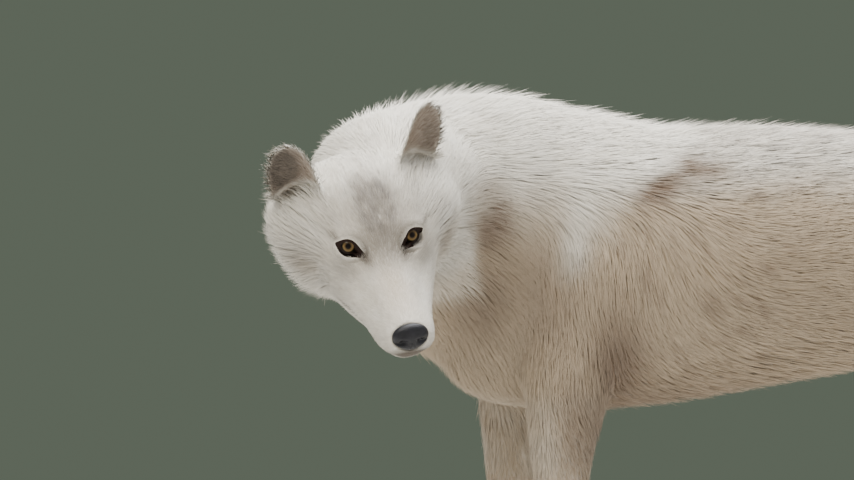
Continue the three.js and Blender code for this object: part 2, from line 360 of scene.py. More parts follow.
# the head's forms, in millimetres in its frame: middle at y = 0 or on both sides, reach, and how far they stand out
forms = {
    "whisker pad": ((116, 30, -50), (20, 10, 10), 1.6),
    "beside the bridge": ((84, 34, -22), (26, 12, 9), -1.6),
    "cheekbone": ((-22, 66, -22), (20, 16, 12), 2.4),
    "inner corner of the eye": ((24, 22, -4), (13, 8, 11), -3.2),
    "brow": ((-12, 36, 22), (12, 20, 8), 1.8),
    "muzzle before the eyes": ((58, 42, -32), (32, 16, 28), -4.0),
    "side of the muzzle": ((98, 42, -34), (34, 16, 26), -3.6),
}
toeGrooves = {"at": ((-19, 2.6), (0, 3.0), (19, 2.6)), "deep": 4.2}   # place across the paw and half width


def mouthLine(x):
    return -64 + 0.09 * (140 - x)


def sculptHead():
    place = points(skin.data)
    normal = pointNormals(skin.data)
    p = toHead(place) / mm
    n = normal @ headTurn.T
    x, y, z = p.T
    sides = 1 - ease(0.72, 0.9, np.abs(n[:, 2]))
    drop = z - mouthLine(x)
    onJaw = ease(22, 36, x) * (np.abs(y) < 90) * (z < 0)
    move = np.zeros(len(p))
    move -= 2.6 * np.exp(-(drop / 2.3) ** 2) * onJaw * sides               # the mouth's line
    move += 1.5 * np.exp(-((drop - 6) / 4) ** 2) * onJaw * sides           # upper lip
    move -= 2.6 * ease(0, -7, drop) * ease(40, 80, x) * (1 - ease(-16, -30, drop)) * sides * onJaw
    for side in (-1, 1):
        for middle, reach, out in forms.values():
            move += out * spotAt(p, np.array(middle) * (1, side, 1), reach)
    move -= 1.8 * np.exp(-(y / 7) ** 2) * ease(-80, -50, x) * ease(-30, -5, -x) * (z > 0)   # brow furrow
    move -= 1.6 * np.exp(-(y / 3) ** 2) * ease(142, 150, x) * ease(70, 60, -z)              # parting of the lip
    move += 2.0 * spotAt(p, (128, 0, -84), (14, 16, 10))                   # chin
    for middle, facing in earHollows.values():
        inFront = ease(0.1, 0.5, n @ unit(np.array(facing)))
        move -= 2.0 * inFront * spotAt(p, np.array(middle) - (0, 0, 10), (26, 15, 22))
    shaped = place + normal * (move * mm)[:, None]
    # grooves part the toes
    for node in pawNodes:
        low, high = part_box(node)
        ahead = low.x / mm + pawBack - place[:, 0] / mm
        over = place[:, 1] / mm - (low.y + high.y) / 2 / mm
        height = place[:, 2] / mm
        groove = sum(np.exp(-((over - at) / wide) ** 2) for at, wide in toeGrooves["at"])
        onToes = ease(12, 34, ahead) * ease(5, 12, height) * (ahead < 90) * (np.abs(over) < 50) * (height < 60)
        shaped -= normal * (toeGrooves["deep"] * mm * groove * onToes)[:, None]
    # the crown runs into the neck without a step
    nape = ease(-88, -112, x) * ease(-200, -170, x) * ease(0, 30, z)
    for middle, _ in earHollows.values():
        nape *= 1 - np.clip(1.8 * spotAt(p, middle, (36, 34, 60)), 0, 1)
    shaped += (spread(shaped, skinPairs, 90) - shaped) * nape[:, None]
    setPoints(skin.data, shaped)


sculptHead()
print("head and toes are shaped")

# the fine mesh is thinned to a size that can be handed on, its head and ears least
thinning = skin.vertex_groups.new(name="thinned")
local = toHead(points(skin.data)) / mm
spared = ease(-190, -150, local[:, 0]) * ease(-190, -160, local[:, 2]) * ease(-160, -130, -np.abs(local[:, 1]))
for level in range(5):
    chosen = np.nonzero(np.round(spared * 4) == level)[0]
    thinning.add(chosen.tolist(), 1 - level / 4 * skinSizes["unthinned"], "REPLACE")
onlySelect(skin)
thin = skin.modifiers.new("thin", "DECIMATE")
thin.ratio = skinSizes["kept"] / len(local)
thin.vertex_group = "thinned"
thin.vertex_group_factor = 1.0
bpy.ops.object.modifier_apply(modifier="thin")
skin.vertex_groups.clear()
editAll(skin, bpy.ops.mesh.quads_convert_to_tris)
place = points(skin.data)
local, placeMm = toHead(place) / mm, place / mm   # the same points in the head's frame and in the world's
print("skin thinned to", len(place), "points,", len(skin.data.polygons), "faces")

# regions of the coat, in millimetres: depth from skin to tip, hair length, tuft width, tufts per square
# centimetre, spacing of the locks, how far a lock draws its hairs together, scatter in degrees, droop
coat = {
    "muzzle":   (1.4, 7, 0.75, 34, 3, 0.25, 10, 0.0),
    "bridge":   (2.0, 11, 0.8, 30, 4, 0.30, 9, 0.0),
    "eyes":     (1.0, 5, 0.6, 44, 3, 0.20, 8, 0.0),
    "crown":    (4.5, 19, 0.9, 23, 7, 0.40, 9, 0.0),
    "cheek":    (9, 38, 1.2, 15, 9, 0.30, 11, 0.02),
    "jaw":      (6, 26, 1.1, 15, 9, 0.35, 12, 0.04),
    "mane":     (16, 64, 1.45, 16, 14, 0.24, 13, 0.04),
    "shoulder": (11, 48, 1.5, 13, 11, 0.18, 13, 0.05),
    "breast":   (10, 44, 1.6, 11, 12, 0.20, 13, 0.06),
    "back":     (9, 44, 1.5, 10.5, 10, 0.20, 13, 0.0),
    "flank":    (6.5, 34, 1.5, 11.5, 9, 0.16, 13, 0.03),
    "belly":    (9, 40, 1.7, 5, 12, 0.50, 12, 0.08),
    "rump":     (8, 42, 1.8, 8, 11, 0.45, 10, 0.03),
    "upperLeg": (4.5, 22, 1.5, 7.7, 7, 0.40, 10, 0.02),
    "lowerLeg": (2.2, 11, 1.3, 6, 5, 0.40, 9, 0.0),
    "paw":      (1.6, 9, 1.1, 6.5, 4, 0.35, 9, 0.0),
    "tail":     (17, 70, 1.8, 9, 13, 0.50, 10, 0.02),
    "earBack":  (1.4, 10, 0.75, 30, 4, 0.30, 10, 0.0),
    "earIn":    (1.0, 12, 0.6, 18, 4, 0.30, 18, 0.0),
}
regions = list(coat)
farSide = {"fewer": 0.28, "wider": 1.2}   # the side away from the camera has fewer and wider tufts
middleY = 131                             # the plane between the body's left and right, in millimetres

nodeShapes, nodeFaces, nodeOfFace = [], [], []
for index, name in enumerate(fleshNodes):
    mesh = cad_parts[name].data
    offset = sum(len(s) for s in nodeShapes)
    nodeShapes.append(points(mesh))
    nodeFaces += [[v + offset for v in p.vertices] for p in mesh.polygons]
    nodeOfFace += [index] * len(mesh.polygons)
nodeTree = BVHTree.FromPolygons(np.concatenate(nodeShapes).tolist(), nodeFaces)
nodeOf = np.array([fleshNodes[nodeOfFace[nodeTree.find_nearest(Vector(p))[2]]] for p in place])
normal = pointNormals(skin.data)
pairs = edgePairs(skin.data)
eyeSits = {"eye_left": (0, -3, 4), "eye_right": (0, -1.5, 3)}   # from the middle of each eye's node
eyePlaces = [toHead(np.array(middleOf(name))) / mm + sit for name, sit in eyeSits.items()]


# later lines lie over earlier ones
def pickRegions():
    x, y, z = local.T
    trunk, head = nodeOf == "trunk", nodeOf == "head"
    upper = np.char.endswith(nodeOf, "_upper")
    inward = normal @ headTurn.T
    chosen = np.full(len(placeMm), regions.index("flank"))

    def put(name, where):
        chosen[where] = regions.index(name)

    put("back", trunk & (placeMm[:, 2] > 700))
    put("belly", trunk & ((normal[:, 2] < -0.6) | (placeMm[:, 2] < 440)))
    put("rump", trunk & (placeMm[:, 0] > 400))
    put("shoulder", trunk & (placeMm[:, 0] < -80) & (normal[:, 2] > -0.5))
    put("breast", trunk & (placeMm[:, 0] < -250) & (placeMm[:, 2] < 560))
    put("mane", nodeOf == "neck")
    put("tail", nodeOf == "tail")
    put("upperLeg", upper & (placeMm[:, 2] > 300))
    put("lowerLeg", (upper & (placeMm[:, 2] <= 300)) | np.char.endswith(nodeOf, "_lower"))
    put("paw", np.char.endswith(nodeOf, "_paw"))
    put("crown", head)
    put("cheek", head & ((np.abs(y) > 58) | (z < -55)) & (x < 0))
    put("cheek", head & (x < -104))
    put("bridge", head & (x > 0) & (z > -70))
    put("muzzle", head & (x > 48))
    put("jaw", head & (x > -70) & (z < -78))
    put("muzzle", head & (x > 80))
    for eye in eyePlaces:
        put("eyes", head & (np.linalg.norm(local - eye, axis=1) < 25))
    for name, (_, facing) in earHollows.items():
        put("earBack", nodeOf == name)
        put("earIn", (nodeOf == name) & (inward @ np.array(facing) > 0.1))
    return chosen


def shareOf(*names):
    return share[:, [regions.index(name) for name in names]].sum(1)


# regions run into each other, within a few millimetres round the eyes and ears and further elsewhere
chosen = pickRegions()
share = np.eye(len(regions))[chosen]
wideShare = spread(share, pairs, 26, 0.6)
share = spread(share, pairs, 7, 0.6)
fine = shareOf("eyes", "earBack", "earIn")[:, None]
share = share * fine + wideShare * (1 - fine)
share /= share.sum(1, keepdims=True)
measures = ("depth", "length", "width", "perCm", "lockGap", "pull", "scatter", "droop")
hair = dict(zip(measures, (share @ np.array([coat[name] for name in regions], float)).T))
isFar = ease(110, 170, placeMm[:, 1]) * np.isin(nodeOf, ["trunk", "neck"])
hair["perCm"] = hair["perCm"] * (1 - farSide["fewer"] * isFar)
hair["width"] = hair["width"] * (1 + (farSide["wider"] - 1) * isFar)
print("regions:", {name: int((chosen == i).sum()) for i, name in enumerate(regions)})


# how far each point is from the starts, along the edges
def walkFrom(starts):
    steps = np.linalg.norm(place[pairs[:, 0]] - place[pairs[:, 1]], axis=1)
    tails = np.concatenate([pairs[:, 0], pairs[:, 1]])
    order = np.argsort(tails, kind="stable")
    heads = np.concatenate([pairs[:, 1], pairs[:, 0]])[order].tolist()
    costs = np.concatenate([steps, steps])[order].tolist()
    first = np.searchsorted(tails[order], np.arange(len(place) + 1)).tolist()
    far = [math.inf] * len(place)
    heap = [(0.0, start) for start in starts]
    for start in starts:
        far[start] = 0.0
    while heap:
        here, point = heapq.heappop(heap)
        if here > far[point]:
            continue
        for k in range(first[point], first[point + 1]):
            there = here + costs[k]
            if there < far[heads[k]]:
                far[heads[k]] = there
                heapq.heappush(heap, (there, heads[k]))
    return np.array(far)


def alongSkin(way, up):
    return unit(way - up * (way * up).sum(1, keepdims=True))


# the way the hair runs: away from the nose, along the skin
noseTip = toHead(np.array(middleOf("nose"))) / mm
starts = np.nonzero(np.linalg.norm(local - noseTip, axis=1) < 26)[0]
far = spread(walkFrom(starts.tolist()), pairs, 4)
a, b = pairs.T
gap = place[b] - place[a]
rise = ((far[b] - far[a]) / np.maximum((gap ** 2).sum(1), 1e-12))[:, None] * gap
run = alongSkin(sumAtPoints(pairs, rise, rise, len(place)), normal)
run = alongSkin(spread(run, pairs, 25), normal)

# on neck and trunk it follows the spine instead
spine = np.array([(-470, -109, 668), (-460, -45, 682), (-432, 27, 668), (-374, 89, 655), (-300, 123, 646),
                  (-224, middleY, 634), (-60, middleY, 625), (200, middleY, 618), (480, middleY, 600)], float)
along = np.zeros_like(place)
for first, last in zip(spine[:-1], spine[1:]):
    for t in (0.1, 0.3, 0.5, 0.7, 0.9):
        away = ((placeMm - first - (last - first) * t) ** 2).sum(1)
        along += (1 / (away + 400) ** 3)[:, None] * (last - first)
level = alongSkin(along, normal)
onTrunk = spread(np.isin(nodeOf, ["trunk", "neck"]).astype(float), pairs, 12)[:, None]
run = alongSkin(run * (1 - onTrunk) + level * onTrunk, normal)

# and it falls: the mane a little, the breast most
fall = {"mane": 0.25, "breast": 1.2, "upperLeg": 0.6, "cheek": 0.25, "jaw": 0.2}
falling = share @ np.array([fall.get(name, 0.0) for name in regions])
down = np.array([0, 0, -1.0])
downSkin = down - normal * (normal @ down)[:, None]
run = alongSkin(run + falling[:, None] * downSkin, normal)

# over the shoulder it turns from level to straight down, and behind the saddle it lifts a little
turning = -8 + 96 * ease(60, -170, placeMm[:, 0]) * ease(735, 610, placeMm[:, 2])
turning = turning + 20 * ease(650, 540, placeMm[:, 2]) * ease(40, 160, placeMm[:, 0])
turning = np.radians(turning + 10 * ease(320, 420, placeMm[:, 0]))[:, None]
sideOn = (1 - normal[:, 2:] ** 2) * spread((nodeOf == "trunk").astype(float), pairs, 12)[:, None]
run = alongSkin(run * (1 - sideOn) + sideOn * (level * np.cos(turning) + downSkin * np.sin(turning)), normal)
run = alongSkin(spread(run, pairs, 6), normal)
print("lie of the coat is laid")

# the skin is drawn in by the depth of the coat, never past a third of what is there
skinTree = treeOver(place, skin.data)
farWall = 0.3   # metres
through = np.empty(len(place))
for k, (p, n) in enumerate(zip(place.tolist(), normal.tolist())):
    inward = -Vector(n)
    hit = skinTree.ray_cast(Vector(p) + inward * 0.4 * mm, inward, farWall)
    through[k] = hit[3] if hit[0] is not None else farWall
through = spread(through, pairs, 3)
tailRoot = spotAt(placeMm, (497, 117, 690), (46, 60, 60))
drawIn = np.minimum(hair["depth"], through / mm * 0.3)
hair["depth"] = spread(drawIn * (1 - 0.35 * tailRoot), pairs, 16)
drawSteps = 8
for _ in range(drawSteps):
    place = place - normal * (hair["depth"] * mm / drawSteps)[:, None]
    place = spread(place, pairs, 1, 0.25)
    setPoints(skin.data, place)
    normal = pointNormals(skin.data)
local, placeMm = toHead(place) / mm, place / mm
run = alongSkin(run, normal)
print("skin drawn in")

# eyelids: an almond rim on each eyeball that runs out into the skin, in millimetres
lid = {
    "inner": 10.0, "outer": 10.8, "above": 8.0, "below": 7.2,              # the opening, from its middle
    "around": 56, "margin": 3, "rim": 2.8, "corner": 8.0, "point": 3.5,    # the bare black rim runs on at the corners
    # each row's distance from the opening, and its radius on the eyeball or else its share of the skin's height
    "rows": ((-1.2, 12.3), (0, 13.3), (1.2, 0.0), (2.8, 0.1), (4.6, 0.4), (7.4, 0.8), (10.0, 1.0)),
    "ball": 14.4, "lookFrom": 45, "sunk": 9,                               # the skin behind it is sunk out of the way
    "hair": {"length": 4.2, "depth": 0.9, "width": 0.55, "perCm": 60},
    "outTurn": 15, "upTurn": 22, "slant": 20,                              # the way an eye faces, in degrees
}


def eyeTurn(side):
    outTurn, upTurn, slant = [math.radians(lid[key]) for key in ("outTurn", "upTurn", "slant")]
    turn = Matrix.Rotation(side * outTurn, 3, "Z") @ Matrix.Rotation(-upTurn, 3, "Y")
    return np.array(turn @ Matrix.Rotation(side * slant, 3, "X"))


# how far across, towards the outer corner, and how far up a row passes at an angle
def lidOutline(angle, away):
    c, s = math.cos(angle), math.sin(angle)
    bare = min(max(away, 0), lid["rim"])
    if c > 0:
        across = c * (lid["outer"] + lid["point"] * c ** 6 * bare / lid["rim"])
    else:
        across = c * (lid["inner"] + 2.0 * c ** 8 + lid["corner"] * c ** 4 * bare / lid["rim"])
    up = math.copysign(abs(s) ** 1.3, s) * (lid["above"] if s > 0 else lid["below"])
    up -= (0.6 if c > 0 else 3.0) * c ** 4
    outTo = 1 + (away + bare * (0.8 * max(-s, 0) + 1.6 * max(-c, 0) ** 4)) / math.hypot(across, up)
    return across * outTo, up * outTo


def skinAhead(eye, turn, flat, ball):
    start = turn @ np.array([lid["lookFrom"], *flat]) + eye
    way = Vector(unit(fromHead(turn @ np.array([-1, 0, 0]) * mm) - headOrigin).tolist())
    hit = skinTree.ray_cast(Vector(fromHead(start * mm).tolist()), way, 0.06)
    onSkin = lid["lookFrom"] - hit[3] / mm if hit[0] is not None else ball
    return min(max(onSkin, ball - 9), ball + 7)


def lidRing(eye, turn, side, away, sits):
    ring = []
    for k in range(lid["around"]):
        across, up = lidOutline(2 * math.pi * k / lid["around"], away)
        out = across ** 2 + up ** 2
        if sits > 2:
            ahead = max(math.sqrt(max(sits ** 2 - out, 0)), 4.5 if away < 0 else 5.2)
        else:
            ball = math.sqrt(max(lid["ball"] ** 2 - out, 25))
            onSkin = skinAhead(eye, turn, (across * side, up), ball)
            # a row that has reached the skin stays there
            sits = max(sits, min(max((math.sqrt(out) - 11.5) / 5, 0), 1))
            ahead = ball * (1 - sits) + (onSkin - 0.5 * (sits == 1.0)) * sits
        ring.append((ahead, across * side, up))
    return ring


skinTree = treeOver(place, skin.data)
around, rings = lid["around"], len(lid["rows"])
lidPlaces, lidFaces, lidAway, hiddenBy = [], [], [], np.zeros(len(place), bool)
for eye, side in zip(eyePlaces, (1, -1)):
    turn = eyeTurn(side)
    offset = sum(len(l) for l in lidPlaces)
    flat = np.array([p for away, sits in lid["rows"] for p in lidRing(eye, turn, side, away, sits)])
    lidPlaces.append(flat @ turn.T + eye)
    lidAway.append(unit((flat * (0, 1, 1)) @ turn.T))
    for p, q in ringSides(rings, around, offset):
        lidFaces.append((p, p + around, q + around, q) if side > 0 else (p, q, q + around, p + around))
    seenFrom = (local - eye) @ turn
    oval = ((seenFrom[:, 1] + side * 4) / 22) ** 2 + ((seenFrom[:, 2] + 1) / 16.5) ** 2
    inFront = (seenFrom[:, 0] > -8) & (seenFrom[:, 0] < 34)
    hiddenBy |= (oval < 1) & inFront
    sunk = (1 - ease(0.75, 1.05, oval)) * inFront * lid["sunk"] * mm
    place = place - (headTurn.T @ (turn @ np.array([1.0, 0, 0])))[None] * sunk[:, None]
setPoints(skin.data, place)
lidPlaces = fromHead(np.concatenate(lidPlaces) * mm)
lidAway = np.concatenate(lidAway) @ headTurn
lidRow = np.tile(np.repeat(np.arange(rings), around), len(eyePlaces))
lidMesh = bpy.data.meshes.new("lids")
lidMesh.from_pydata(lidPlaces.tolist(), [], lidFaces)
lidMesh.update()
lids = newObject("lids", lidMesh)
editAll(lids, bpy.ops.mesh.quads_convert_to_tris)
lidNormal = pointNormals(lidMesh)
print("lids are in:", len(lidMesh.polygons), "faces")


# a soft pattern from about -1 to 1, its waves a few times as long as the scale
def waves(p, scale, seed):
    q = p / scale
    total = 0
    for k in range(4):
        turn = np.random.default_rng(seed + k).normal(size=(3, 3))
        total = total + np.sin(q @ turn[:, 0] + 1.7 * np.sin(q @ turn[:, 1] + k)) * np.cos(q @ turn[:, 2] * 0.7)
    return total / 2.4


# markings and painted shade, the same on skin and coat: tan, grey, brown and dark, each from 0 to 1, in millimetres;
# on the body a brown place has x and z of its middle, its reach along and up, and its strength
saddleEdge = ((-76, 712, 16, 17, 1.5), (-50, 711, 17, 11, 0.9))
# painted shade, brown, in the neck's folds, behind the elbow, and on the breast and upper arm under the head
shadedPlaces = {
    "behind the elbow": (-168, 462, 36, 64, 0.9),
    "fold of the neck": (-317, 650, 10, 24, 1.3),
    "before the fold": (-334, 632, 26, 30, 0.75),
    "over the fold": (-332, 684, 22, 26, 0.35),
    "breast": (-345, 548, 44, 56, 0.5),
    "upper arm": (-262, 545, 55, 80, 0.32),
}
# on the head a spot has its middle, its reach and its strength; the face's wide grey and tan and the grey round the
# eyes are partly the coat's own colour and partly painted shade
faceSpots = (("grey", (-10, 0, 20), (80, 66, 60), 0.42), ("grey", (10, 4, 16), (52, 56, 46), 0.62),
             ("tan", (10, 4, 16), (52, 56, 46), 0.5), ("tan", (75, 0, -14), (60, 22, 40), 0.60))
pairedSpots = (("brown", (-30, 92, -34), (22, 22, 24), 0.36), ("grey", (26, 25, 8), (20, 13, 18), 0.75),
               ("grey", (26, 52, -10), (28, 22, 18), 0.45))


def markings(p):
    h, p = toHead(p) / mm, p / mm
    x, y, z = p.T
    hx, hy, hz = h.T
    onHead = ease(-175, -135, hx) * ease(-170, -150, hz) * ease(-150, -135, -np.abs(hy))
    wander = waves(p, 45, 3) * 9 + waves(p, 14, 9) * 6
    marks = {}

    def lay(kind, amount):
        marks[kind] = np.maximum(marks[kind], amount)

    def bodySpot(middleX, middleZ, reachX, reachZ, strength):
        return strength * np.exp(-((x - middleX) / reachX) ** 2 - ((z - middleZ) / reachZ) ** 2)

    # the saddle is grey over tan, and its front edge slopes
    border = -80 - 1.65 * np.clip(714 - z, 0, 60) - 0.26 * np.clip(654 - z, 0, 90) + wander
    behind = ease(border - 8, border + 20, x)
    above = ease(655, 735, z + wander)
    marks["tan"] = behind * (0.92 - 0.80 * above)
    marks["grey"] = behind * above * (0.12 + 0.95 * ease(0.0, 0.9, waves(p, 7, 21)))
    # shoulder, breast and legs are tan, partly their own colour and partly painted shade growing towards the bottom,
    # with a pale ribbon down the shoulder
    front = ease(718, 600, z + wander) * ease(-420, -350, x) * ease(400, 460, z)
    lower = ease(600, 520, z + wander) * ease(330, 440, z)
    ribbon = np.exp(-((x + 222 - 0.22 * (z - 620)) / 20) ** 2) * ease(560, 600, z)
    lay("tan", 0.95 * np.maximum(front, lower) * (1 - 0.9 * ribbon))
    lay("tan", (0.78 + 0.16 * waves(p, 30, 5)) * ease(470, 390, z))
    # brown along the saddle's edge and in streaks on the flank, and painted shade in the neck's folds, behind the
    # elbow, on breast and upper arm; the near foreleg is browner
    rise = z - 688 - (x + 114) * 0.42
    marks["brown"] = 2.6 * np.exp(-((x + 113) / 26) ** 2 - (rise / 13) ** 2)
    for sizes in saddleEdge:
        lay("brown", bodySpot(*sizes))
    marks["brown"] = marks["brown"] * (0.8 + 0.4 * waves(p, 9, 31))
    lay("brown", 0.45 * behind * (1 - above) * ease(0.0, 1.0, waves(p, 12, 61)) * ease(180, 20, x))
    for sizes in shadedPlaces.values():
        lay("brown", bodySpot(*sizes))
    foreleg = ease(-270, -220, x) * ease(-420, -380, -x) * ease(470, 400, z) * ease(290, 350, z) * (y < middleY)
    lay("brown", 0.55 * foreleg)
    marks = {kind: amount * (1 - onHead) for kind, amount in marks.items()}
    marks["dark"] = np.zeros(len(p))
    # the head: a grey patch on the forehead, a face partly grey and tan of its own and partly painted shade, cheeks,
    # nose, and painted shade under the head on the throat
    patch = 1.25 * spotAt(h, (-22, -3, 56), (36, 30, 38)) + 1.15 * spotAt(h, (6, 1, 44), (26, 20, 28))
    patch = np.clip(patch, 0, 1)
    lay("grey", onHead * 0.95 * patch * (0.8 + 0.4 * waves(p, 5, 41)))
    lay("dark", onHead * 0.16 * patch ** 2 * (0.7 + 0.6 * waves(p, 5, 43)))
    for kind, middle, reach, strength in faceSpots:
        lay(kind, strength * onHead * spotAt(h, middle, reach))
    lay("grey", 0.15 * onHead * ease(-70, -20, hx))
    for side in (-1, 1):
        for kind, middle, reach, strength in pairedSpots:
            lay(kind, strength * spotAt(h, np.array(middle) * (1, side, 1), reach))
    lay("dark", 2.0 * spotAt(h, (150, 0, -66), (16, 22, 10)))
    # painted shade under the head: the throat is tan
    lay("tan", onHead * 0.45 * ease(-90, -130, hz))
    found = np.clip(np.stack([marks[kind] for kind in ("tan", "grey", "brown", "dark")], 1), 0, 1)
    found[:, 1:] = 1 - (1 - found[:, 1:]) ** 1.6
    return found


# the lids join the arrays that the coat grows from
skinCount = len(place)
skinFaces, lidTris = triangles(skin.data), triangles(lidMesh)
like = skinFaces[[skinTree.find_nearest(Vector(p))[2] for p in lidPlaces.tolist()]][:, 0]
lidRun = unit(run[like] * 0.5 + alongSkin(lidAway, lidNormal))
place, normal = np.concatenate([place, lidPlaces]), np.concatenate([normal, lidNormal])
run = np.concatenate([run, alongSkin(lidRun, lidNormal)])
share = np.concatenate([share, share[like]])
hair = {key: np.concatenate([values, values[like]]) for key, values in hair.items()}
for key, value in lid["hair"].items():
    hair[key][skinCount:] = value
local, placeMm = toHead(place) / mm, place / mm

# marks that follow a form: ears, with painted shade in their hollows, lips, the lines from the eyes' corners
own = np.zeros((len(place), 4))
earIn, earBack = shareOf("earIn"), shareOf("earBack")
onEar = np.clip((earIn + earBack) * 1.5, 0, 1)
earIn[:skinCount] = spread(earIn[:skinCount], pairs, 8)
earShare = earIn + earBack
earRim = np.clip(earIn * (1 - earIn) * 4, 0, 1) ** 1.5 * onEar
inside = np.clip(earIn * 2.4 - 0.8, 0, 1) * (1 - earRim)
# painted shade in each ear's hollow: dark deep inside it, and brown at the bottom of the cup
deep = 2.1 * spotAt(local, (-77, -102, 75), (27, 19, 34)) + 0.6 * spotAt(local, (-98, 88, 78), (24, 18, 30))
earRootShade = 0.9 * spotAt(local, (-75, -92, 42), (16, 15, 14)) + 0.5 * spotAt(local, (-98, 80, 54), (14, 14, 12))
own[:, 2] = np.maximum(inside * 0.95, earRootShade)
own[:, 3] = inside * np.clip(deep, 0, 1)
keep = 1 - 0.8 * earRim   # how much of the body's markings is left
hair["length"], hair["perCm"] = hair["length"] + 5 * earRim, hair["perCm"] * (1 + 0.6 * earRim)
for spot, _ in earHollows.values():
    byEar = (earRim * (np.linalg.norm(local - np.array(spot), axis=1) < 75))[:, None]
    run = alongSkin(run + byEar * 1.2 * unit(place - fromHead(np.array(spot) * mm)), normal)
lipDrop = local[:, 2] - mouthLine(local[:, 0])
lips = np.exp(-((lipDrop + 0.8) / 2.0) ** 2) * ease(26, 40, local[:, 0]) * (np.abs(local[:, 1]) < 60)
own[:, 3] = np.maximum(own[:, 3], lips)
for side in (1, -1):   # the tear line runs down beside the bridge, the other back from the outer corner
    for t in np.linspace(0, 1, 7):
        lines = (((27 + 15 * t, side * (29 - 9 * t), 4 - 8 * t), (5, 5, 5)),
                 ((3 - 9 * t, side * (59 + 12 * t), 20 - 3 * t), (5, 5, 3.5)))
        for spot, reach in lines:
            own[:, 3] = np.maximum(own[:, 3], 1.3 * (1 - 0.8 * t) * spotAt(local, spot, reach))
hair["perCm"] = hair["perCm"] * (1 - 0.8 * lips)
hair["length"] = hair["length"] * (1 - 0.35 * lips)
liftBy = np.ones(len(place))   # the ruff on the cheeks stands off the head
for side in (-1, 1):
    ruff = spotAt(local, (-14, side * 72, -78), (48, 34, 42))
    ruff = ruff + 0.5 * spotAt(local, (-58, side * 112, -20), (48, 34, 48))
    liftBy, hair["length"] = liftBy + 1.3 * ruff, hair["length"] * (1 + 0.35 * ruff)
hair["depth"] = hair["depth"] * liftBy


def marksAt(place, own, keep):
    return np.maximum(markings(place) * keep[:, None], own)


# strand holds how far along its hair a point is, and a draw for each hair and for each lock
def giveAttributes(mesh, rootPlace, marks, strand):
    for name, values in (("rootPlace", rootPlace), ("strand", strand)):
        layer = mesh.attributes.new(name, "FLOAT_VECTOR", "POINT")
        layer.data.foreach_set("vector", values.astype(np.float32).ravel())
    layer = mesh.attributes.new("marks", "FLOAT_COLOR", "POINT")
    layer.data.foreach_set("color", marks.astype(np.float32).ravel())


marks = marksAt(place, own, keep)
for mesh, which in ((skin.data, slice(0, skinCount)), (lidMesh, slice(skinCount, None))):
    giveAttributes(mesh, place[which], marks[which], np.tile([0.25, 0.5, 0.5], (len(place[which]), 1)))
print("markings are laid")

# what the tufts grow from
faces = np.concatenate([skinFaces, lidTris + skinCount])
chosen = np.concatenate([chosen, np.full(len(lidPlaces), regions.index("eyes"))])
bald = np.concatenate([hiddenBy[skinFaces].all(1), lidRow[lidTris].min(1) < lid["margin"]])
corners = place[faces]
areas = np.linalg.norm(np.cross(corners[:, 1] - corners[:, 0], corners[:, 2] - corners[:, 0]), axis=1) / 2
onFace = chosen[faces][:, 0]
wanted = areas * 1e4 * hair["perCm"][faces].mean(1) * ~bald
print("tufts wanted:", int(wanted.sum()), {n: int(wanted[onFace == i].sum()) for i, n in enumerate(regions)})
hidden = np.concatenate([hiddenBy, lidRow < lid["margin"]])
skinPoints = treeOf([(k, p) for k, p in enumerate(place.tolist()) if not hidden[k]])
tailTip = placeMm[:skinCount][nodeOf == "tail"]
tailTip = tailTip[tailTip[:, 2].argmin()]
runsOff = earShare + spotAt(placeMm, tailTip, (40, 40, 40))   # these follow a straight path, not the skin

# hair: each tuft is a thin three-sided blade that follows the skin and rises to the coat's outline
tuft = {
    "length": (0.7, 1.15), "rise": (0.85, 1.15),      # the least and most of what the region gives
    "lockLength": (0.85, 1.1), "lockRise": (0.85, 1.25),
    "swirl": 9, "swirlSize": 38, "lockTurn": 7,       # the lie wanders, in degrees and in millimetres
    "stray": 0.06, "topStray": 0.12,                  # share that stands off the coat, and more on the back
    "strayLift": 0.4, "topLift": 0.7, "strayWidth": 0.6, "strayPull": 0.15,
    "widths": (1, 0.68, 0.45), "roll": 0.5,           # from root to tip, and a turn on its own axis
    "under": 0.4, "overFloor": 1.5,                   # the root sits in the skin, in millimetres
}


def scatterOn(weights, count):
    ladder = np.cumsum(weights)
    picks = np.searchsorted(ladder, (np.arange(count) + chance.random(count)) * ladder[-1] / count)
    picks = np.clip(picks, 0, len(weights) - 1)
    u, v = chance.random(count), chance.random(count)
    flip = u + v > 1
    u[flip], v[flip] = 1 - u[flip], 1 - v[flip]
    return faces[picks], np.stack([1 - u - v, u, v], 1)


# a value of the skin's points at places inside its faces
def blend(values, corner, part):
    if values.ndim == 1:
        return (values[corner] * part).sum(1)
    return (values[corner] * part[:, :, None]).sum(1)


def rootsOf(corner, part):
    up = unit(blend(normal, corner, part))
    return blend(place, corner, part), up, alongSkin(blend(run, corner, part), up)


def turnAbout(way, up, angle):
    return way * np.cos(angle)[:, None] + np.cross(up, way) * np.sin(angle)[:, None]


def swirlAt(root):
    return np.radians(tuft["swirl"]) * waves(root / mm, tuft["swirlSize"], 51)


def tracePaths(corner, part, lengths, rises, ways, steps):
    onSkin, up, _ = rootsOf(corner, part)
    way = alongSkin(ways, up)
    straight = (blend(runsOff, corner, part) > 0.4)[:, None]
    path = [onSkin - up * (tuft["under"] * mm)]
    for step in range(1, steps + 1):
        onSkin = onSkin + way * (lengths / steps)[:, None]
        near = np.array([skinPoints.find(q)[1] for q in onSkin.tolist()])
        top = normal[near]
        flat = onSkin - top * ((onSkin - place[near]) * top).sum(1, keepdims=True)
        onSkin = np.where(straight, onSkin, flat)
        up = np.where(straight, up, unit(up * 0.35 + top))
        way = np.where(straight, way, alongSkin(way * 0.6 + run[near] * 0.4, up))
        path.append(onSkin + up * (rises * (step / steps) ** 0.85)[:, None])
    return path, up


